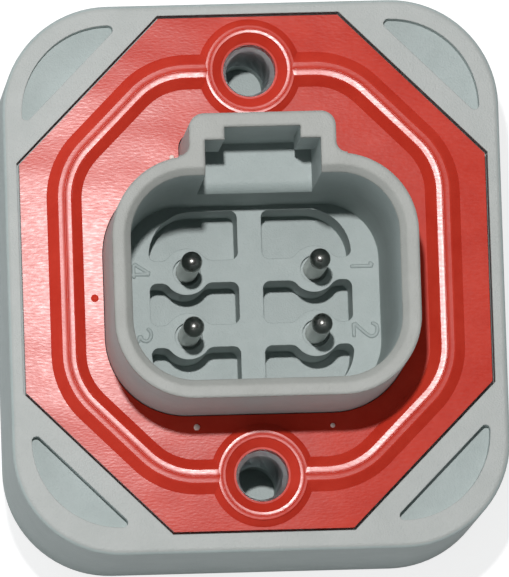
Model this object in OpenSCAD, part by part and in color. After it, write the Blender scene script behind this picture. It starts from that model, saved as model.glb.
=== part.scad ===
// Sealed four-way connector header with a flange, a flange seal and two threaded inserts.
// Origin: centre of the body's rear face. +Z is the mating direction, +Y points to the latch.

/* [Flange body] */
// Width of the body, across the contact columns
flange_w = 36.9; // [36:0.1:44]
// Height of the body, along the line of the two screws
flange_h = 40.9; // [40:0.1:48]
// Depth of the body, from its rear face to the flange face
body_depth = 17; // [15:0.5:24]
// Radius of the body's corners in plan
flange_corner_r = 8; // [6.5:0.1:8.4]
// Radius of the rounded edge round the flange face
flange_edge_r = 0.4; // [0.2:0.1:0.8]
// How far the middle of the body lies below the middle of the screw line
flange_drop = 0.3; // [0:0.1:0.4]
// Thickness of the front plate, measured from the flange face
plate_t = 4.4; // [3.6:0.1:5.5]
// Thickness of the body's outer wall
body_wall = 2; // [1.5:0.1:2.6]
// Thickness of the ribs behind the plate
rib_t = 1.4; // [1:0.1:2]
// Depth of the shallow recesses in the flange corners
corner_recess_depth = 1.1; // [0.3:0.1:1.4]
// Radius of a corner recess's two tips
recess_tip_r = 0.35; // [0.15:0.05:0.6]
// Width of the land between a corner recess and the seal pocket
corner_land = 1.55; // [1.2:0.05:2.2]
// Width of the land between a corner recess and the side of the body
side_land = 1.45; // [1:0.05:2]

/* [Seal] */
// Width of the octagonal seal pocket
pocket_w = 35; // [34.6:0.1:35.3]
// Height of the octagonal seal pocket
pocket_h = 38.66; // [38.2:0.1:39]
// Length cut from each pocket side by the slanted corners
pocket_cut = 10.75; // [10.2:0.05:11.6]
// Depth of the seal pocket
pocket_depth = 1.6; // [1.2:0.1:2]
// Gap between the seal and its pocket
seal_gap = 0.2; // [0.1:0.05:0.35]
// Gap between the seal and the shell, which it hugs
seal_shell_gap = 0.06; // [0.02:0.02:0.3]
// Depth of the seal's flat face below the flange face
seal_below = 0.2; // [0:0.05:0.4]
// Height of the sealing bead above the seal's flat face
bead_h = 0.6; // [0.3:0.05:1]
// Width of the bead at its foot
bead_w = 2.6; // [2:0.1:3]
// Width of the bead's flat top
bead_top_w = 1.15; // [0.6:0.05:1.6]
// Distance between the bead's two long sides, at their middle
bead_span = 28.1; // [26.8:0.1:29]
// Distance between the bead's slanted runs, at their middle
bead_slant_span = 31.25; // [30:0.05:32.2]
// Radius of the bead's bends, at its middle
bead_bend_r = 5.5; // [4:0.1:6.5]
// Diameter of the seal's holes over the inserts
seal_hole_d = 3.9; // [3.6:0.1:4.4]
// Diameter of the bead ring's crest round each hole
ring_crest_d = 6.1; // [5.5:0.1:6.4]
// Diameter of the bead ring at its foot
ring_foot_d = 7.7; // [7.2:0.1:7.9]

/* [Screws] */
// Distance between the two screw holes
screw_pitch = 30.18; // [29.6:0.02:30.6]
// Diameter of the insert's threaded bore
insert_bore_d = 3.3; // [2.5:0.1:3.5]
// Outer diameter of the inserts
insert_d = 5.6; // [5:0.1:6.2]
// Length of the inserts
insert_len = 9; // [6:0.5:10]
// Free depth below each insert
insert_spare = 1.6; // [0.5:0.1:2.5]
// Wall round each insert
boss_wall = 1.5; // [1.2:0.1:2]

/* [Shell] */
// Height of the shell above the flange face
shell_h = 12; // [9:0.5:16]
// Width of the socket at its floor
socket_w = 19.2; // [18:0.1:19.6]
// Height of the socket at its floor
socket_h = 14.5; // [13.8:0.1:14.8]
// Corner radius of the socket at its floor
socket_r = 4.2; // [3.4:0.1:4.6]
// How much each socket wall leans out from the floor to the rim
socket_draft = 0.28; // [0.1:0.02:0.4]
// Width of the lead-in chamfer inside the rim
rim_chamfer = 0.5; // [0.3:0.05:0.7]
// Width of the flat rim
rim_land = 0.87; // [0.7:0.01:1.1]
// How much each outer wall leans out from the rim to the flange
shell_draft = 0.05; // [0:0.05:0.3]
// Distance of the socket's middle below the middle of the screw line
socket_drop = 1.55; // [1.4:0.05:1.7]
// Depth of the socket floor below the flange face
floor_depth = 6.15; // [4.5:0.05:7]

/* [Latch housing] */
// Outer width of the latch housing
latch_w = 10.8; // [10.4:0.1:11.4]
// Distance from the screw line's middle to the top of the latch housing
latch_top = 10.48; // [10.2:0.02:10.7]
// Radius of the latch housing's outer corners
latch_corner_r = 1.1; // [0.5:0.1:1.5]
// Radius where the latch housing joins the shell
latch_blend_r = 0.8; // [0.4:0.1:1]
// Wall above the latch slot
latch_roof = 1.03; // [0.8:0.01:1.2]
// Width of the wide, lower part of the latch slot
slot_w = 8.54; // [8:0.02:8.8]
// Width of the narrow, upper part of the latch slot
slot_neck_w = 5.6; // [4.8:0.1:6.2]
// Thickness of the two catch ledges, across the latch's travel
ledge_t = 0.92; // [0.7:0.01:1.1]
// Length of the catch ledges from the rim
ledge_len = 7.4; // [5:0.1:8.5]
// Depth of the shelf below the rim
shelf_depth = 10.6; // [9.5:0.1:11.4]
// Radius of the shelf's front edge
shelf_edge_r = 1; // [0.2:0.1:1.2]

/* [Contacts] */
// Distance between the contact columns
pitch_x = 9.525; // [9:0.025:10]
// Distance between the contact rows
pitch_y = 4.826; // [4.6:0.026:5]
// Diameter of the contact pins
pin_d = 1.575; // [1.4:0.025:1.7]
// Height of the pin tips above the socket floor
pin_rise = 7.2; // [5:0.1:9]
// Diameter of the solder tails
tail_d = 1.1; // [0.8:0.1:1.3]
// Distance from the end of a tail to the rear face
tail_inset = 0.6; // [0.3:0.1:2]
// Diameter of the pin's anchoring collar
collar_d = 2.4; // [2:0.1:2.6]
// Diameter of the countersunk seat round each pin
seat_d = 2.04; // [1.9:0.02:2.3]
// Depth of the countersunk seat
seat_depth = 0.5; // [0.2:0.1:1]

/* [Socket floor] */
// Depth of the six cored pockets in the floor
core_depth = 4.6; // [2.5:0.1:4.8]
// Thickness of the floor under its pockets
core_floor = 1.85; // [1.5:0.05:2.5]
// Width of the rib between the two columns
centre_rib_w = 1.8; // [1.4:0.1:2.4]
// Width of the webs that carry the contacts
web_w = 1.68; // [1.4:0.02:2]
// Width of the margin beside the pockets
side_margin = 2.05; // [1.7:0.05:2.4]
// Width of the margin above and below the pockets
end_margin = 0.35; // [0.25:0.05:0.6]
// Radius of the bosses round the contacts
boss_r = 1.74; // [1.5:0.02:1.9]
// Radius that blends a boss into its web
boss_blend_r = 0.8; // [0.5:0.1:1]
// Radius of the pockets' small corners
core_r = 0.55; // [0.3:0.05:0.7]
// Radius of the outer pockets' large corners
core_big_r = 3.3; // [2.4:0.1:3.6]

/* [Hidden] */
$fn = 96;
eps = 0.01;
over = 1;

face_z = body_depth;
rim_z = face_z + shell_h;
floor_z = face_z - floor_depth;
core_z = floor_z - core_depth;
well_z = core_z - core_floor;
shelf_z = rim_z - shelf_depth;
ledge_z = rim_z - ledge_len;
plate_z = face_z - plate_t;
pocket_z = face_z - pocket_depth;
seal_top_z = face_z - seal_below;

rim_wall = rim_land + rim_chamfer;
rim_w = socket_w + 2 * (socket_draft + rim_wall);
rim_h = socket_h + 2 * (socket_draft + rim_wall);
rim_r = socket_r + socket_draft + rim_wall;
shell_w = rim_w + 2 * shell_draft;
shell_foot_h = rim_h + 2 * shell_draft;
shell_r = rim_r + shell_draft;
socket_y = -socket_drop;
shell_top = socket_y + shell_foot_h / 2;

slot_roof = latch_top - latch_roof;
slot_step = slot_roof - ledge_t;

seal_w = pocket_w - 2 * seal_gap;
seal_h = pocket_h - 2 * seal_gap;
// A slanted side moved in by the gap leaves this much of each corner cut
seal_cut = pocket_cut - seal_gap * (2 - sqrt(2));
corner_x = flange_w / 2 - flange_corner_r;
corner_y = flange_h / 2 - flange_corner_r - flange_drop;

boss_d = insert_d + 2 * boss_wall;
hole_foot = pocket_z - insert_len - insert_spare;
mouth_chamfer = 0.3;
groove_len = 1.2;
groove_depth = 0.4;
tub_z = 1;
rib_z = 2;
rib_pitch = 5.2;
rib_rows = 7;
web_y = pitch_y / 2;
collar_len = 1.2;
collar_cover = 1;
collar_z = well_z + collar_cover;
pin_back = 0.8;
tail_step_z = well_z - pin_back;
bead_root = 0.1;
bead_relief = 0.004;
tip_ease = 0.004;
touch_ease = 0.05;
ring_crest_w = 0.3;
ring_foot_gap = 0.15;
contact_sides = [[1, 1], [1, -1], [-1, -1], [-1, 1]];

// Nearest thousandth of a millimetre, so that neighbouring runs meet exactly
function rounded(x) = round(x * 1000) / 1000;

// Rounded rectangle, centred, as a plain outline
module round_plan(w, h, r) {
    square([w - 2 * r, h], center = true);
    square([w, h - 2 * r], center = true);
    for (x = [-1, 1], y = [-1, 1]) translate([x * (w / 2 - r), y * (h / 2 - r)]) circle(r);
}

// Rectangle with its four corners cut at 45 degrees
module cut_plan(w, h, cut) {
    polygon([[w / 2 - cut, h / 2], [w / 2, h / 2 - cut], [w / 2, cut - h / 2], [w / 2 - cut, -h / 2],
             [cut - w / 2, -h / 2], [-w / 2, cut - h / 2], [-w / 2, h / 2 - cut], [cut - w / 2, h / 2]]);
}

// Carries a profile round a rounded rectangle: its x points outwards from the outline, its y up
module run_round(w, h, r) {
    for (turn = [0, 180]) rotate(turn) {
        translate([w / 2, 0, 0]) rotate([90, 0, 0]) linear_extrude(h - 2 * r, center = true) children();
        translate([0, h / 2, 0]) rotate([90, 0, 90]) linear_extrude(w - 2 * r, center = true) children();
        translate([w / 2 - r, h / 2 - r, 0]) rotate_extrude(angle = 90) translate([r, 0]) children();
        translate([r - w / 2, h / 2 - r, 0]) rotate([0, 0, 90])
            rotate_extrude(angle = 90) translate([r, 0]) children();
    }
}

// Rounded block that widens by lean on every side between z0 and z1
module leaning_block(w, h, r, z0, z1, lean) {
    inset = r / 4;
    translate([0, 0, z0]) linear_extrude(z1 - z0) round_plan(w - 2 * inset, h - 2 * inset, r - inset);
    run_round(w, h, r) polygon([[-2 * inset, z0], [0, z0], [lean, z1], [-2 * inset, z1]]);
}

// What a round of radius r takes off an outer edge whose corner is at the profile's origin
module edge_off(r) {
    translate([-r, -r]) difference() {
        square(r + over);
        circle(r);
    }
}

// Plan of the shell and latch housing at the flange, grown by extra
module shell_plan(extra) {
    translate([0, socket_y]) round_plan(shell_w + 2 * extra, shell_foot_h + 2 * extra, shell_r + extra);
    latch_plan(extra);
}

// Plan of the latch housing with its blends into the shell, grown by extra
module latch_plan(extra) {
    half = latch_w / 2 + extra;
    top = latch_top + extra;
    translate([-half, 0]) square([2 * half, top - latch_corner_r]);
    translate([latch_corner_r - half, 0]) square([2 * (half - latch_corner_r), top]);
    for (x = [-1, 1]) translate([x * (half - latch_corner_r), top - latch_corner_r]) circle(latch_corner_r);
    for (x = [0, 1]) mirror([x, 0]) difference() {
        translate([half - eps, shell_top + extra - latch_blend_r])
            square([latch_blend_r + eps, 2 * latch_blend_r]);
        translate([half + latch_blend_r, shell_top + extra + latch_blend_r]) circle(latch_blend_r);
    }
}

// Shallow recess in one flange corner: an arc beside the corner and a chord beside the seal pocket
module corner_recess_plan() {
    chord = (pocket_w + pocket_h) / 2 - pocket_cut + corner_land * sqrt(2);
    near = (chord - corner_x - corner_y) / sqrt(2);
    arc_r = flange_corner_r - side_land;
    tip_x = near + recess_tip_r;
    tip_y = sqrt(pow(arc_r - recess_tip_r, 2) - pow(tip_x, 2));
    translate([corner_x, corner_y]) rotate(45) {
        intersection() {
            circle(arc_r);
            polygon([[near, -tip_y], [near, tip_y], [tip_x, tip_y], [3 * tip_x, 3 * tip_y],
                     [3 * tip_x, -3 * tip_y], [tip_x, -tip_y]]);
        }
        for (y = [-1, 1]) translate([tip_x, y * tip_y]) circle(recess_tip_r - tip_ease);
    }
}

// The socket: leaning walls, a chamfered rim and the stepped latch slot with its shelf
module socket_space() {
    socket_top = rim_z - rim_chamfer;
    translate([0, socket_y, 0]) {
        leaning_block(socket_w, socket_h, socket_r, floor_z, socket_top, socket_draft);
        leaning_block(socket_w + 2 * socket_draft, socket_h + 2 * socket_draft, socket_r + socket_draft,
                      socket_top, rim_z + over, rim_chamfer + over);
    }
    latch_space();
}

// Slot for the mating latch: wide below, narrow between the two ledges, full height behind them
module latch_space() {
    slot_foot = socket_y + socket_h / 2 - over;
    translate([0, 0, shelf_z]) linear_extrude(rim_z + over - shelf_z) {
        translate([-slot_w / 2, slot_foot]) square([slot_w, slot_step - slot_foot]);
        translate([-slot_neck_w / 2, slot_foot]) square([slot_neck_w, slot_roof - slot_foot]);
    }
    translate([-slot_w / 2, slot_foot, shelf_z]) cube([slot_w, slot_roof - slot_foot, ledge_z - shelf_z]);
    translate([0, slot_foot + over, shelf_z]) rotate([90, 0, 90])
        linear_extrude(slot_w, center = true) mirror([1, 0]) edge_off(shelf_edge_r);
}

// Plan of one contact's boss and of the blends that join it to its web, which runs along X
module boss_plan() {
    blend_y = web_w / 2 + boss_blend_r;
    blend_x = sqrt(pow(boss_r + boss_blend_r, 2) - pow(blend_y, 2));
    // height at which the blends touch the boss, less a hair so that no sliver is left there
    touch_y = blend_y * boss_r / (boss_r + boss_blend_r) - touch_ease;
    circle(boss_r);
    difference() {
        square([2 * blend_x, 2 * touch_y], center = true);
        for (x = [-1, 1], y = [-1, 1]) translate([x * blend_x, y * blend_y]) circle(boss_blend_r);
    }
}

// Floor pocket at an end of the socket: three small corners and one large outer one
module end_pocket_plan(w, h) {
    difference() {
        round_plan(w, h, core_r);
        translate([w / 2 - core_big_r, h / 2 - core_big_r]) difference() {
            square(core_big_r + over);
            circle(core_big_r);
        }
    }
}

// The six floor pockets, kept clear of the centre rib, the webs, the bosses and the margins
module pockets_plan() {
    inner = centre_rib_w / 2;
    width = socket_w / 2 - side_margin - inner;
    foot = web_y + web_w / 2;
    height = socket_h / 2 - end_margin - foot;
    difference() {
        for (x = [0, 1]) mirror([x, 0]) translate([inner + width / 2, 0]) {
            round_plan(width, pitch_y - web_w, core_r);
            for (y = [0, 1]) mirror([0, y]) translate([0, foot + height / 2]) end_pocket_plan(width, height);
        }
        for (side = contact_sides) translate([side[0] * pitch_x / 2, side[1] * web_y]) boss_plan();
    }
}

// Outer form of a threaded insert, with the anchoring groove that the moulding fills
module insert_body() {
    groove_z = pocket_z - insert_len / 2;
    difference() {
        translate([0, 0, pocket_z - insert_len]) cylinder(d = insert_d, h = insert_len);
        translate([0, 0, groove_z - groove_len / 2]) difference() {
            cylinder(d = insert_d + over, h = groove_len);
            cylinder(d = insert_d - 2 * groove_depth, h = groove_len);
        }
    }
}

// Threaded insert: a brass bush moulded into its boss, with a bored thread hole
module insert() {
    color("khaki") difference() {
        insert_body();
        translate([0, 0, pocket_z - insert_len - over]) cylinder(d = insert_bore_d, h = insert_len + 2 * over);
        translate([0, 0, pocket_z - mouth_chamfer])
            cylinder(d1 = insert_bore_d, d2 = insert_bore_d + 2 * mouth_chamfer + 2 * eps, h = mouth_chamfer + eps);
    }
}

// One contact: solder tail, anchoring collar and round pin with a ball tip
module contact_form() {
    tip_z = floor_z + pin_rise - pin_d / 2;
    translate([0, 0, tail_inset]) cylinder(d = tail_d, h = well_z - tail_inset);
    translate([0, 0, tail_step_z]) cylinder(d = pin_d, h = tip_z - tail_step_z);
    translate([0, 0, collar_z]) cylinder(d = collar_d, h = collar_len);
    translate([0, 0, tip_z]) sphere(d = pin_d);
}

module contact(n) {
    side = contact_sides[n - 1];
    color("silver") translate([side[0] * pitch_x / 2, flange_drop + socket_y + side[1] * web_y, 0]) contact_form();
}

// Both screw positions
module at_screws() {
    for (y = [-1, 1]) translate([0, y * screw_pitch / 2, 0]) children();
}

// Deep body behind the flange face: outer wall, front plate, contact block, insert bosses and ribs
module body() {
    inner_w = flange_w - 2 * body_wall;
    inner_h = flange_h - 2 * body_wall;
    inner_r = flange_corner_r - body_wall;
    difference() {
        translate([0, -flange_drop, 0]) linear_extrude(face_z) round_plan(flange_w, flange_h, flange_corner_r);
        translate([0, -flange_drop, -over]) linear_extrude(plate_z + over) round_plan(inner_w, inner_h, inner_r);
    }
    translate([0, 0, rib_z]) linear_extrude(plate_z - rib_z + eps) intersection() {
        translate([0, -flange_drop]) round_plan(inner_w + eps, inner_h + eps, inner_r);
        rib_grid_plan();
    }
    translate([0, socket_y, tub_z]) linear_extrude(plate_z - tub_z + eps) round_plan(shell_w, shell_foot_h, shell_r);
    at_screws() translate([0, 0, hole_foot - boss_wall])
        cylinder(d = boss_d, h = plate_z + boss_wall - hole_foot + eps);
}

// Grid of ribs that stiffens the back of the plate
module rib_grid_plan() {
    for (i = [-rib_rows : rib_rows]) {
        translate([i * rib_pitch, 0]) square([rib_t, flange_h], center = true);
        translate([0, i * rib_pitch]) square([flange_w, rib_t], center = true);
    }
}

// Shell and latch housing above the flange, before the socket is cut out
module shell() {
    translate([0, socket_y, 0]) leaning_block(shell_w, shell_foot_h, shell_r, pocket_z, rim_z, -shell_draft);
    translate([0, 0, pocket_z]) linear_extrude(rim_z - pocket_z) latch_plan(0);
}

// The moulded housing: body, shell and latch housing in one piece
module housing() {
    color("darkgray") translate([0, flange_drop, 0]) difference() {
        union() {
            body();
            shell();
        }
        // octagonal seal pocket round the shell
        translate([0, 0, pocket_z]) linear_extrude(pocket_depth + over) difference() {
            cut_plan(pocket_w, pocket_h, pocket_cut);
            shell_plan(0);
        }
        // shallow recesses in the four corners of the flange
        translate([0, 0, face_z - corner_recess_depth]) linear_extrude(corner_recess_depth + over)
            for (x = [0, 1], y = [0, 1]) mirror([x, 0]) mirror([0, y]) corner_recess_plan();
        // rounded edge round the flange face
        translate([0, -flange_drop, face_z]) run_round(flange_w, flange_h, flange_corner_r) edge_off(flange_edge_r);
        socket_space();
        translate([0, socket_y, core_z]) linear_extrude(core_depth + eps) pockets_plan();
        // well behind the contact block
        translate([0, socket_y, -over]) linear_extrude(well_z + over) round_plan(socket_w, socket_h, socket_r);
        for (side = contact_sides) translate([side[0] * pitch_x / 2, socket_y + side[1] * web_y, 0]) {
            contact_form();
            translate([0, 0, floor_z - seat_depth]) cylinder(d = seat_d, h = seat_depth + over);
        }
        at_screws() {
            insert_body();
            translate([0, 0, hole_foot]) cylinder(d = insert_bore_d, h = insert_spare + eps);
        }
    }
}

// One quarter of the sealing bead's loop, from the middle of a long side to a screw hole
module bead_quarter() {
    side_x = bead_span / 2;
    end_y = screw_pitch / 2;
    corner = rounded(bead_slant_span / sqrt(2) - bead_bend_r * tan(22.5));
    low = corner - side_x;
    far = corner - end_y;
    slant = sqrt(2) * (end_y - bead_bend_r - low);
    translate([side_x, 0, 0]) rotate([90, 0, 0]) mirror([0, 0, 1]) linear_extrude(low) bead_section();
    translate([side_x - bead_bend_r, low, 0]) rotate_extrude(angle = 45) translate([bead_bend_r, 0]) bead_section();
    translate([side_x - bead_bend_r, low, 0]) rotate([0, 0, 45]) translate([bead_bend_r, -eps, 0])
        rotate([90, 0, 0]) mirror([0, 0, 1]) linear_extrude(slant + 2 * eps) bead_section(bead_relief);
    translate([far, end_y - bead_bend_r, 0]) mirror([1, -1, 0])
        rotate_extrude(angle = 45) translate([bead_bend_r, 0]) bead_section();
    translate([ring_crest_d / 2, end_y, 0]) rotate([90, 0, 90])
        linear_extrude(far - ring_crest_d / 2) bead_section();
}

// Section of the bead's loop, standing on the seal's flat face, drawn in by relief
module bead_section(relief = 0) {
    foot = bead_w / 2 - relief;
    top = bead_top_w / 2 - relief;
    crest = bead_h - relief;
    polygon([[-foot, -bead_root], [-foot, 0], [-top, crest], [top, crest], [foot, 0], [foot, -bead_root]]);
}

// Section of the bead ring round a screw hole, at its distance from the hole's axis
module ring_section() {
    inner = seal_hole_d / 2 + ring_foot_gap;
    outer = ring_foot_d / 2;
    crest = ring_crest_d / 2;
    polygon([[inner, -bead_root], [inner, 0], [crest - ring_crest_w / 2, bead_h],
             [crest + ring_crest_w / 2, bead_h], [outer, 0], [outer, -bead_root]]);
}

// Silicone flange seal: a flat octagon with one bead loop that also rings both screw holes
module flange_seal() {
    color("firebrick") translate([0, flange_drop, 0]) difference() {
        union() {
            translate([0, 0, pocket_z]) linear_extrude(seal_top_z - pocket_z) difference() {
                cut_plan(seal_w, seal_h, seal_cut);
                shell_plan(seal_shell_gap);
            }
            translate([0, 0, seal_top_z]) {
                for (x = [0, 1], y = [0, 1]) mirror([x, 0, 0]) mirror([0, y, 0]) bead_quarter();
                at_screws() rotate_extrude() ring_section();
            }
        }
        at_screws() cylinder(d = seal_hole_d, h = rim_z);
    }
}

module insert_top() { translate([0, flange_drop + screw_pitch / 2, 0]) insert(); }
module insert_bottom() { translate([0, flange_drop - screw_pitch / 2, 0]) insert(); }

housing();
flange_seal();
insert_top();
insert_bottom();
contact(1);  // contact_1
contact(2);  // contact_2
contact(3);  // contact_3
contact(4);  // contact_4
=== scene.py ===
"""Looks of the sealed connector header, round the fixed CAD part.

The CAD meshes keep their shape and take materials. New pieces are the raised cavity numbers, the
threaded inserts and the fine marks that moulding leaves. Lengths are in millimetres until a mesh
or a socket takes them.
"""
import math

import bpy
import numpy as np
from mathutils import Matrix, Vector


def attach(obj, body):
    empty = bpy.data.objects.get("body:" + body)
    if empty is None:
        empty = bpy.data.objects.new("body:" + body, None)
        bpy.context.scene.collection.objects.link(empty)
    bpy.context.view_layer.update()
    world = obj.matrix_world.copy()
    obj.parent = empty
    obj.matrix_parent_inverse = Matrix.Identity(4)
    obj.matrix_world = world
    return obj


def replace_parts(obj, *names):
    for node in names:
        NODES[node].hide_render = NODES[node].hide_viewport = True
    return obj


MM = 0.001  # metres in a millimetre
FLOOR_Z = 10.85  # contact floor in the socket
POCKET_Z = 15.4  # top of the inserts
FACE_Z = 17.0  # face of the flange
SEAL_TOP = 16.8  # the seal's flat
BEAD_TOP = SEAL_TOP + 0.6
TIP_Z = 17.2  # where a contact's ball tip begins
RIM_Z = 29.0  # rim of the shell
RIM_BAND = 0.6  # how far down the rim's own finish reaches
FLANGE_DROP = 0.3  # the flange's middle below the screws' middle
SCREW_Y = 15.09  # half the distance between the screws
RING_R = 3.05  # middle line of the bead's ring round a screw
SUNK = 0.02  # how far a fine mark reaches into its base
MOULDING_IOR = 1.5

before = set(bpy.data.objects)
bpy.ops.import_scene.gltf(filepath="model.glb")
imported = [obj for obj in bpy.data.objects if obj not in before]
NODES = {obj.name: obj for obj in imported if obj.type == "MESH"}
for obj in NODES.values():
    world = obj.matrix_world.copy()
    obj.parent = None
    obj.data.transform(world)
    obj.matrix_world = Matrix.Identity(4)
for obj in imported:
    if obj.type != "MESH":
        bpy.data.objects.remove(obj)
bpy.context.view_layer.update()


# ---------- helpers ----------


def dress(node, finish):
    """Gives a CAD node its material."""
    mesh = NODES[node].data
    mesh.materials.clear()
    mesh.materials.append(finish)


def mesh_object(name, points, faces, finish, smooth=True):
    """A new piece from points in millimetres and their faces; its object stays at the origin."""
    mesh = bpy.data.meshes.new(name)
    mesh.from_pydata((points * MM).tolist(), [], faces.tolist())
    mesh.update()
    mesh.polygons.foreach_set("use_smooth", [smooth] * len(mesh.polygons))
    mesh.materials.append(finish)
    piece = bpy.data.objects.new(name, mesh)
    bpy.context.scene.collection.objects.link(piece)
    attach(piece, "root")
    return piece


def grid_faces(rows, columns, wrap_rows=False, wrap_columns=False):
    """Quads of a grid of points, numbered row by row, joined round either way where wrap is true.

    The corners are (r, c), (r, c + 1), (r + 1, c + 1) and (r + 1, c), and point (r, c) has the
    number r * columns + c.
    """
    r = np.arange(rows if wrap_rows else rows - 1)
    c = np.arange(columns if wrap_columns else columns - 1)
    r, c = [a.ravel() for a in np.meshgrid(r, c, indexing="ij")]
    r2, c2 = (r + 1) % rows, (c + 1) % columns
    corners = (r * columns + c, r * columns + c2, r2 * columns + c2, r2 * columns + c)
    return np.stack(corners, 1)


def merge(parts):
    """Joins (points, faces) pairs into one, each part's faces counted on from the parts before."""
    starts = np.cumsum([0] + [len(points) for points, _ in parts])
    points = np.concatenate([points for points, _ in parts])
    faces = np.concatenate([faces + start for (_, faces), start in zip(parts, starts)])
    return points, faces


# ---------- materials ----------


def material(name, colour, roughness, metallic=0.0):
    """A Principled material whose constants sit on the shader's own sockets."""
    made = bpy.data.materials.new(name)
    made.use_nodes = True
    shader = made.node_tree.nodes["Principled BSDF"]
    shader.inputs["Base Color"].default_value = (*colour, 1)
    shader.inputs["Roughness"].default_value = roughness
    shader.inputs["Metallic"].default_value = metallic
    shader.inputs["IOR"].default_value = MOULDING_IOR
    return made, made.node_tree.nodes, made.node_tree.links, shader


def noise(nodes, links, grain_mm, detail=2.0, stretch=(1, 1, 1), harsh=0.5):
    """A noise on Object coordinates whose grains are about grain_mm times stretch across."""
    place = nodes.new("ShaderNodeTexCoord")
    size = nodes.new("ShaderNodeMapping")
    size.inputs["Scale"].default_value = [1 / x for x in stretch]
    texture = nodes.new("ShaderNodeTexNoise")
    texture.inputs["Scale"].default_value = 1 / (grain_mm * MM)
    texture.inputs["Detail"].default_value = detail
    texture.inputs["Roughness"].default_value = harsh
    links.new(place.outputs["Object"], size.inputs["Vector"])
    links.new(size.outputs["Vector"], texture.inputs["Vector"])
    return texture.outputs["Fac"]


def blend_colours(nodes, links, share, first, second):
    """Mixes two colour outputs by a value output."""
    mix = nodes.new("ShaderNodeMix")
    mix.data_type = "RGBA"
    links.new(share, mix.inputs["Factor"])
    links.new(first, mix.inputs["A"])
    links.new(second, mix.inputs["B"])
    return mix.outputs["Result"]


def compute(nodes, links, operation, *values):
    """A Math node on sockets or plain numbers."""
    node = nodes.new("ShaderNodeMath")
    node.operation = operation
    for socket, value in zip(node.inputs, values):
        if isinstance(value, (int, float)):
            socket.default_value = value
        else:
            links.new(value, socket)
    return node.outputs[0]


def height(nodes, links):
    """Height above the rear face in metres."""
    place = nodes.new("ShaderNodeTexCoord")
    split = nodes.new("ShaderNodeSeparateXYZ")
    links.new(place.outputs["Object"], split.inputs[0])
    return split.outputs["Z"]


def level_mask(nodes, links, level_mm, reach_mm=0.06):
    """1 where the height is within reach of a level, else 0."""
    return compute(nodes, links, "COMPARE", height(nodes, links), level_mm * MM, reach_mm * MM)


def above_mask(nodes, links, level_mm):
    """1 above a level, else 0."""
    return compute(nodes, links, "GREATER_THAN", height(nodes, links), level_mm * MM)


def soft_edges(nodes, links, shader, radius):
    """Rounds edges in the shading, as moulded edges are, by the metres that a socket gives."""
    bevel = nodes.new("ShaderNodeBevel")
    bevel.samples = 6
    links.new(radius, bevel.inputs["Radius"])
    links.new(bevel.outputs["Normal"], shader.inputs["Normal"])


def lean(nodes, links, shader, slope):
    """Tips the shader's normal a little along X and Y, as where a soft part isn't quite level."""
    surface = nodes.new("ShaderNodeNewGeometry")
    tipped = nodes.new("ShaderNodeVectorMath")
    tipped.inputs[1].default_value = (*slope, 0)
    links.new(surface.outputs["Normal"], tipped.inputs[0])
    links.new(tipped.outputs["Vector"], shader.inputs["Normal"])


def add_bump(nodes, links, shader, relief, depth_mm):
    """Feeds a value into the shader's normal as a bump depth_mm deep, on top of what is there."""
    bump = nodes.new("ShaderNodeBump")
    bump.inputs["Distance"].default_value = depth_mm * MM
    links.new(relief, bump.inputs["Height"])
    if shader.inputs["Normal"].is_linked:
        links.new(shader.inputs["Normal"].links[0].from_socket, bump.inputs["Normal"])
    links.new(bump.outputs["Normal"], shader.inputs["Normal"])


def tint(nodes, links, source, low, high, stops=(0.3, 0.7)):
    """Maps a value through two colours."""
    ramp = nodes.new("ShaderNodeValToRGB")
    ramp.color_ramp.elements[0].position, ramp.color_ramp.elements[1].position = stops
    ramp.color_ramp.elements[0].color = (*low, 1)
    ramp.color_ramp.elements[1].color = (*high, 1)
    links.new(source, ramp.inputs["Fac"])
    return ramp.outputs["Color"]


def housing_plastic():
    """Grey glass-filled nylon: cool and grained, with a warmer flange land and a darker band at the
    rim.
    """
    edge_r, rim_edge_r, grain, grain_depth = 0.1, 0.38, 0.13, 0.032
    made, nodes, links, shader = material("housing_plastic", (0.40, 0.44, 0.42), 0.5)
    cloud = noise(nodes, links, 3.0, 6.0, harsh=0.72)
    cool = tint(nodes, links, cloud, (0.36, 0.415, 0.405), (0.415, 0.47, 0.46))
    land = tint(nodes, links, cloud, (0.385, 0.405, 0.39), (0.43, 0.445, 0.43))
    dull = tint(nodes, links, cloud, (0.305, 0.31, 0.29), (0.35, 0.355, 0.335))
    colour = blend_colours(nodes, links, level_mask(nodes, links, FACE_Z), cool, land)
    rim = above_mask(nodes, links, RIM_Z - RIM_BAND)
    links.new(blend_colours(nodes, links, rim, colour, dull), shader.inputs["Base Color"])
    rounding = compute(nodes, links, "MULTIPLY_ADD", rim, (rim_edge_r - edge_r) * MM, edge_r * MM)
    soft_edges(nodes, links, shader, rounding)
    add_bump(nodes, links, shader, noise(nodes, links, grain, 3.0), grain_depth)
    return made


def seal_silicone(name, roughness, shine):
    """Red silicone that is finely textured and streaked, a little out of level and wavy."""
    made, nodes, links, shader = material(name, (0.53, 0.036, 0.020), roughness)
    cloud = noise(nodes, links, 3.0, 6.0, harsh=0.7)
    red = tint(nodes, links, cloud, (0.49, 0.030, 0.016), (0.57, 0.046, 0.026))
    links.new(red, shader.inputs["Base Color"])
    shader.inputs["Specular IOR Level"].default_value = shine
    streaks = noise(nodes, links, 0.15, 2.0, (4, 1, 1))
    gleam = compute(nodes, links, "MULTIPLY_ADD", streaks, 0.6 * roughness, 0.7 * roughness)
    links.new(gleam, shader.inputs["Roughness"])
    lean(nodes, links, shader, (-0.040, -0.0126))
    add_bump(nodes, links, shader, noise(nodes, links, 5.0, 1.0, (1.6, 1, 1)), 0.05)
    add_bump(nodes, links, shader, noise(nodes, links, 0.16, 2.0, (2.2, 1, 1)), 0.0024)
    return made


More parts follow.
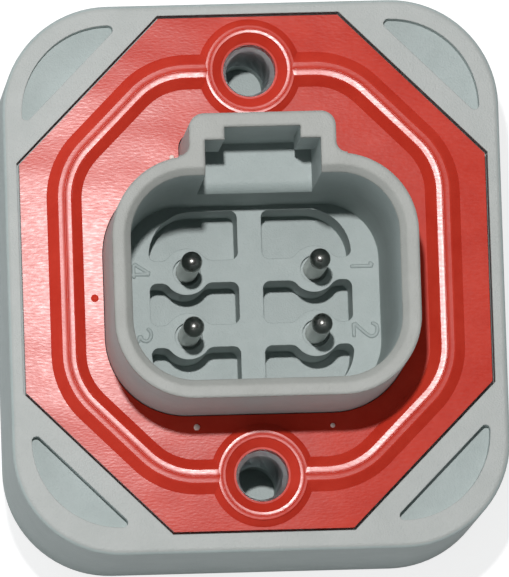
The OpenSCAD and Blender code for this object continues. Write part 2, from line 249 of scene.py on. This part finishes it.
def pin_plating():
    """Dull plating, polished on the ball tips, with painted reflection: darker on the tips and
    lighter on the stems.
    """
    stem_rough, tip_rough = 0.5, 0.26
    made, nodes, links, shader = material("contact_plating", (0.62, 0.62, 0.59), stem_rough, 1.0)
    tip = above_mask(nodes, links, TIP_Z)
    # Painted reflection: the darker tips stand in for the dim room mirrored above them, the lighter
    # stems for the lit floor mirrored beside them.
    plating = tint(nodes, links, tip, (0.80, 0.80, 0.77), (0.32, 0.32, 0.30), (0, 1))
    links.new(plating, shader.inputs["Base Color"])
    dull = compute(nodes, links, "MULTIPLY_ADD", tip, tip_rough - stem_rough, stem_rough)
    links.new(dull, shader.inputs["Roughness"])
    return made


# ---------- new pieces ----------


def thread_rows(minor_r, major_r, pitch, low, high, turn, rows_per_pitch):
    """Heights and radii of a screw thread's rows at the angles in turn.

    A triangle wave runs along the helix: saw = |2 frac(z / pitch - turn / full turn) - 1|. The
    radius is minor + (major - minor) times 1.6 (1 - saw) - 0.3, held between 0 and 1, which makes
    flat crests and roots. The groove fades out over 0.4 pitch at each end.
    """
    z = np.linspace(low, high, int((high - low) / pitch * rows_per_pitch))[:, None]
    saw = np.abs(2 * ((z / pitch - turn[None, :] / (2 * np.pi)) % 1.0) - 1)
    groove = np.clip(1.6 * (1 - saw) - 0.3, 0, 1) * (major_r - minor_r)
    fade = np.clip(np.minimum(z - low, high - z) / (0.4 * pitch), 0, 1)
    return z, minor_r + groove * fade


def threaded_insert(name, centre_y, metal):
    """A turned insert with an M4 thread: one closed surface round its axis, with its outer groove.

    Each row of points is a circle (r cos a, centre + r sin a, z). The rows go up the outside and
    back down the threaded bore.
    """
    columns, rows_per_pitch = 72, 10
    minor_r, major_r, pitch, outer_r, length = 1.65, 1.98, 0.7, 2.8, 9.0
    mouth, groove_half, groove_depth = 0.3, 0.6, 0.4
    low, high = POCKET_Z - length, POCKET_Z
    turn = np.linspace(0, 2 * np.pi, columns, endpoint=False)
    middle, inner_r = (low + high) / 2, outer_r - groove_depth
    plain = [(minor_r, low), (outer_r, low), (outer_r, middle - groove_half),
             (inner_r, middle - groove_half), (inner_r, middle + groove_half),
             (outer_r, middle + groove_half), (outer_r, high), (minor_r + mouth, high)]
    z, r = thread_rows(minor_r, major_r, pitch, low, high - mouth, turn, rows_per_pitch)
    r = np.concatenate([[np.full(columns, p[0]) for p in plain], r[::-1]])
    z = np.concatenate([[np.full(columns, p[1]) for p in plain], np.repeat(z[::-1], columns, 1)])
    points = np.stack([r * np.cos(turn), centre_y + r * np.sin(turn), z], -1).reshape(-1, 3)
    faces = grid_faces(len(z), columns, wrap_rows=True, wrap_columns=True)
    piece = mesh_object(name, points, faces, metal, smooth=False)
    return piece


# Strokes of the cavity numbers in a 1.25 by 1.9 cell, before they turn onto their side
DIGITS = {
    1: [[(0.3, 1.55), (0.65, 1.9)], [(0.65, 1.9), (0.65, 0.0)]],
    2: [[(0.05, 1.4), (0.25, 1.8), (0.65, 1.92), (1.05, 1.75), (1.18, 1.4), (0.95, 1.0),
         (0.5, 0.5), (0.0, 0.0)],
        [(0.0, 0.0), (1.25, 0.0)]],
    3: [[(0.05, 1.6), (0.35, 1.87), (0.75, 1.9), (1.1, 1.65), (1.05, 1.25), (0.6, 1.02)],
        [(0.6, 1.02), (1.1, 0.85), (1.22, 0.45), (0.9, 0.05), (0.4, 0.0), (0.0, 0.3)]],
    4: [[(0.9, 0.0), (0.9, 1.9)], [(0.9, 1.9), (0.0, 0.55)], [(0.0, 0.55), (1.25, 0.55)]],
}
DIGIT_MIDDLE = (0.62, 0.95)
DIGIT_SCALE = 0.92
DIGIT_PLACES = {1: (8.3, 1.3), 2: (8.45, -3.5), 3: (-8.45, -3.5), 4: (-8.35, 1.3)}


def smooth_line(line, step=0.05):
    """Points about step apart on the Catmull-Rom curve through a line's points.

    Between p1 and p2 it is half of 2 p1 + (p2 - p0) t + (2 p0 - 5 p1 + 4 p2 - p3) t^2
    + (3 p1 - p0 - 3 p2 + p3) t^3, for t from 0 to 1.
    """
    line = np.asarray(line, float)
    p = np.concatenate([[2 * line[0] - line[1]], line, [2 * line[-1] - line[-2]]])
    spans = []
    for p0, p1, p2, p3 in zip(p[:-3], p[1:-2], p[2:-1], p[3:]):
        count = max(int(np.linalg.norm(p2 - p1) / step), 2)
        t = np.linspace(0, 1, count, endpoint=False)[:, None]
        spans.append((2 * p1 + (p2 - p0) * t + (2 * p0 - 5 * p1 + 4 * p2 - p3) * t**2
                      + (3 * p1 - p0 - 3 * p2 + p3) * t**3) / 2)
    return np.concatenate([*spans, line[-1:]])


def round_section(width, rise, across=9):
    """Half-round section: width / 2 cos a across and rise sin a up."""
    a = np.linspace(0, np.pi, across)
    return np.stack([np.cos(a) * width / 2, np.sin(a) * rise], 1)


def roof_section(width, rise, line=0.12, proud=0.035):
    """Two nearly flat slopes that meet at a fine raised line, as on a bead's parting line."""
    half = [(width / 2 + 0.01, 0), (width / 2, rise * 0.02), (width * 0.4, rise * 0.2),
            (width * 0.22, rise * 0.56), (line * 0.6, rise * 0.9), (line * 0.5, rise),
            (line * 0.25, rise + proud * 0.8), (0, rise + proud)]
    return np.array(half + [(-x, z) for x, z in half[-2::-1]])


def ridge(path, section, base_z):
    """A ridge of the given section along a plan path, sunk a little into its base.

    Each point is the path's point plus its side vector times the section's width, and the base
    plus the section's height. Near each end both shrink as sqrt(1 - u^2), where u runs from 0 to
    1 over the last half width (0.2 at most), which rounds the ends.
    """
    path = np.asarray(path, float)
    along = np.gradient(path, axis=0)
    along /= np.linalg.norm(along, axis=1)[:, None]
    side = np.stack([-along[:, 1], along[:, 0]], 1)
    run = np.concatenate([[0], np.cumsum(np.linalg.norm(np.diff(path, axis=0), axis=1))])
    u = np.clip(1 - np.minimum(run, run[-1] - run) / min(section[0, 0], 0.2), 0, 1)
    fade = np.sqrt(np.clip(1 - u**2, 0.0004, 1))[:, None]
    plan = path[:, None, :] + side[:, None, :] * (fade * section[None, :, 0])[..., None]
    rise = np.where(section[:, 1] > 0, section[:, 1], -SUNK)
    points = np.concatenate([plan, (base_z + fade * rise[None, :])[..., None]], -1)
    return points.reshape(-1, 3), grid_faces(len(path), len(section))


def cavity_numbers(plastic):
    """The moulded numbers 1 to 4 on the socket floor, each turned on its side beside its pin."""
    section, parts = round_section(0.3, 0.15), []
    for number, (x, y) in DIGIT_PLACES.items():
        for stroke in DIGITS[number]:
            line = smooth_line((np.asarray(stroke) - DIGIT_MIDDLE) * DIGIT_SCALE)
            parts.append(ridge(np.stack([line[:, 1] + x, y - line[:, 0]], 1), section, FLOOR_Z))
    piece = mesh_object("cavity_numbers", *merge(parts), plastic)


def bead_path(step_deg=3.0):
    """Plan of one quarter of the bead's middle line, from its side to the screw's ring.

    Side, bend, slanted run, bend, straight run. The slanted run lies on x + y = slant_span /
    sqrt(2), which is half of slant_span from the middle. Each bend is an arc (r cos a, r sin a)
    through 45 degrees that touches its two runs, r tan 22.5 degrees short of their crossing.
    """
    side_x, slant_span, bend_r = 14.05, 31.25, 5.5
    corner = slant_span / math.sqrt(2) - bend_r * math.tan(math.radians(22.5))
    low, far = corner - side_x, corner - SCREW_Y
    turn = np.radians(np.arange(0, 45 + step_deg / 2, step_deg))
    first = np.stack([side_x - bend_r + bend_r * np.cos(turn), low + bend_r * np.sin(turn)], 1)
    turn = turn + np.pi / 4
    second = np.stack([far + bend_r * np.cos(turn), SCREW_Y - bend_r + bend_r * np.sin(turn)], 1)
    return np.concatenate([np.linspace((side_x, 0), first[0], 12, endpoint=False), first[:-1],
                           np.linspace(first[-1], second[0], 12, endpoint=False), second[:-1],
                           np.linspace(second[-1], (RING_R, SCREW_Y), 8)])


def ring_crown(roof, centre_y, columns=120, sunk=0.12):
    """A crown round one screw: circles (r cos a, centre + r sin a), one for each roof point.

    Their r is the ring's radius plus the roof point's place across, and their height is its rise.
    """
    turn = np.linspace(0, 2 * np.pi, columns + 1)[:-1, None]
    reach = RING_R + roof[None, :, 0]
    rise = BEAD_TOP + np.where(roof[:, 1] > 0, roof[:, 1], -sunk)
    points = np.stack([reach * np.cos(turn), centre_y + reach * np.sin(turn),
                       np.repeat(rise[None, :], columns, 0)], -1)
    return points.reshape(-1, 3), grid_faces(columns, len(roof), wrap_rows=True)


def bead_crowns(rubber):
    """The bead's crest: two slight slopes and a parting line, on each side and round both rings."""
    quarter = bead_path()
    half = np.concatenate([quarter[::-1], (quarter * (1, -1))[1:]])
    roof, ring_roof = roof_section(1.15, 0.02), roof_section(0.62, 0.012, 0.1, 0.03)
    parts = [ridge(half[::-1] + (0, FLANGE_DROP), roof, BEAD_TOP),
             ridge(half * (-1, 1) + (0, FLANGE_DROP), roof, BEAD_TOP)]
    parts += [ring_crown(ring_roof, FLANGE_DROP + y) for y in (SCREW_Y, -SCREW_Y)]
    piece = mesh_object("seal_bead_crowns", *merge(parts), rubber)


def dome(x, y, radius, rise, base_z, rings=6, columns=20):
    """A low dome: radius cos b across and rise sin b up, for b from 0 to a quarter turn."""
    b = np.linspace(0, np.pi / 2, rings)[:, None]
    turn = np.linspace(0, 2 * np.pi, columns, endpoint=False)[None, :]
    reach = radius * np.maximum(np.cos(b), 0.02)
    points = np.stack([x + reach * np.cos(turn), y + reach * np.sin(turn),
                       np.repeat(base_z - SUNK + (rise + SUNK) * np.sin(b), columns, 1)], -1)
    return points.reshape(-1, 3), grid_faces(rings, columns, wrap_columns=True)


def seal_nubs(rubber, glint_paint):
    """What moulding leaves on the seal's flat: a gate mark, and vent nubs whose pale colour is a
    painted glint.
    """
    piece = mesh_object("seal_gate_mark", *dome(-12.0, -1.3, 0.3, 0.08, SEAL_TOP), rubber)
    spots = [(-5.96, 9.06, 0.2), (-4.75, -11.09, 0.24), (5.33, -11.2, 0.18)]
    # The nubs' pale colour is a painted glint.
    nubs = merge([dome(x, y, radius, 0.14, SEAL_TOP) for x, y, radius in spots])
    piece = mesh_object("seal_vent_nubs", *nubs, glint_paint)


# ---------- light and camera ----------


def area_light(name, place, target, size, power):
    """A soft round light that faces its target; it never shows itself. All in metres."""
    light = bpy.data.lights.new(name, "AREA")
    light.shape, light.size, light.energy = "DISK", size, power
    holder = bpy.data.objects.new(name, light)
    bpy.context.scene.collection.objects.link(holder)
    holder.location = place
    holder.rotation_euler = (Vector(target) - Vector(place)).to_track_quat("-Z", "Y").to_euler()
    holder.visible_camera = False


def room():
    """A world that is dim overhead and brightest low on the left and at the top side.

    Its strength falls from low to overhead between two heights, times 1 + to_right x + to_top y.
    """
    low, overhead, low_z, overhead_z = 0.75, 0.03, 0.45, 0.8
    to_right, to_top = -0.5, 0.2
    world = bpy.data.worlds.new("room")
    bpy.context.scene.world = world
    world.use_nodes = True
    nodes, links = world.node_tree.nodes, world.node_tree.links
    back = nodes["Background"]
    place = nodes.new("ShaderNodeTexCoord")
    split = nodes.new("ShaderNodeSeparateXYZ")
    rise = nodes.new("ShaderNodeMapRange")
    for socket, value in (("From Min", low_z), ("From Max", overhead_z), ("To Min", low),
                          ("To Max", overhead)):
        rise.inputs[socket].default_value = value
    links.new(place.outputs["Generated"], split.inputs[0])
    links.new(split.outputs["Z"], rise.inputs["Value"])
    side = compute(nodes, links, "MULTIPLY_ADD", split.outputs["X"], to_right, 1.0)
    side = compute(nodes, links, "MULTIPLY_ADD", split.outputs["Y"], to_top, side)
    strength = compute(nodes, links, "MULTIPLY", rise.outputs["Result"], side)
    links.new(strength, back.inputs["Strength"])
    back.inputs["Color"].default_value = (0.94, 0.98, 1.0, 1)


def mix_shaders(nodes, links, share, first, second):
    """Mixes two shader outputs by a value output."""
    mix = nodes.new("ShaderNodeMixShader")
    links.new(share, mix.inputs["Fac"])
    links.new(first, mix.inputs[1])
    links.new(second, mix.inputs[2])
    return mix.outputs["Shader"]


def floor():
    """A pale floor that looks white and keeps the part's shadow, and that is clear from below.

    What the camera and clear materials see of it is a glow plus a diffuse share, and reflections
    see less than a third of that, because the grained mouldings stand in dim surroundings.
    """
    albedo, glow_strength, shadow_share, mirrored_share = 0.42, 0.78, 0.35, 0.3
    half_side, z = 3, -0.0001
    made, nodes, links, shader = material("floor_white", (albedo, albedo, albedo), 0.9)
    glow, matt = nodes.new("ShaderNodeEmission"), nodes.new("ShaderNodeBsdfDiffuse")
    glow.inputs["Strength"].default_value = glow_strength
    matt.inputs["Color"].default_value = (shadow_share, shadow_share, shadow_share, 1)
    shown, path = nodes.new("ShaderNodeAddShader"), nodes.new("ShaderNodeLightPath")
    links.new(glow.outputs["Emission"], shown.inputs[0])
    links.new(matt.outputs["BSDF"], shown.inputs[1])
    mirrored = compute(nodes, links, "MULTIPLY", path.outputs["Is Glossy Ray"], mirrored_share)
    seen = compute(nodes, links, "MAXIMUM", path.outputs["Is Camera Ray"], mirrored)
    seen = compute(nodes, links, "MAXIMUM", seen, path.outputs["Is Transmission Ray"])
    above = mix_shaders(nodes, links, seen, shader.outputs["BSDF"], shown.outputs["Shader"])
    facing, clear = nodes.new("ShaderNodeNewGeometry"), nodes.new("ShaderNodeBsdfTransparent")
    both = mix_shaders(nodes, links, facing.outputs["Backfacing"], above, clear.outputs["BSDF"])
    links.new(both, nodes["Material Output"].inputs["Surface"])
    mesh = bpy.data.meshes.new("floor")
    plan = ((-half_side, -half_side), (half_side, -half_side), (half_side, half_side),
            (-half_side, half_side))
    mesh.from_pydata([(x, y, z) for x, y in plan], [], [(0, 1, 2, 3)])
    mesh.materials.append(made)
    plane = bpy.data.objects.new("floor", mesh)
    bpy.context.scene.collection.objects.link(plane)


def camera():
    """A long lens almost straight above, a little below and left of the axis, slightly rolled."""
    tilt, turn, roll = math.radians(6.3), math.radians(-3.863), math.radians(-1.869)
    look = (Matrix.Rotation(-roll, 3, "Z") @ Matrix.Rotation(-tilt, 3, "X")
            @ Matrix.Rotation(-turn, 3, "Y"))
    flange_seen = Vector((0.116, 1.189, -1000.0))
    place = (Vector((0, FLANGE_DROP, FACE_Z)) - look.transposed() @ flange_seen) * MM
    data = bpy.data.cameras.new("camera")
    data.sensor_width, data.lens = 36.0, 842.5
    data.clip_start, data.clip_end = 0.05, 10
    made = bpy.data.objects.new("camera", data)
    bpy.context.scene.collection.objects.link(made)
    made.matrix_world = Matrix.Translation(place) @ look.transposed().to_4x4()
    bpy.context.scene.camera = made


# ---------- the scene ----------

PLASTIC = housing_plastic()
SILICONE = seal_silicone("seal_silicone", 0.175, 0.041)
CREST = seal_silicone("seal_crest", 0.235, 0.19)
INSERT = material("insert_metal", (0.60, 0.65, 0.66), 0.48, 1.0)[0]
CONTACT = pin_plating()
# Pale silicone for the vent nubs, a painted glint.
NUB_GLINT_PAINT = material("seal_nub_painted_glint", (0.82, 0.66, 0.60), 0.4)[0]

dress("housing", PLASTIC)
dress("flange_seal", SILICONE)
for number in (1, 2, 3, 4):
    dress(f"contact_{number}", CONTACT)
for side, centre in (("top", FLANGE_DROP + SCREW_Y), ("bottom", FLANGE_DROP - SCREW_Y)):
    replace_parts(threaded_insert(f"threaded_insert_{side}", centre, INSERT), f"insert_{side}")
cavity_numbers(PLASTIC)
bead_crowns(CREST)
seal_nubs(SILICONE, NUB_GLINT_PAINT)

bpy.context.scene.view_settings.view_transform = "Standard"
area_light("flash", (-0.0205, 0.026, 0.317), (0, 0, 0.015), 0.008, 0.68)
room()
floor()
camera()
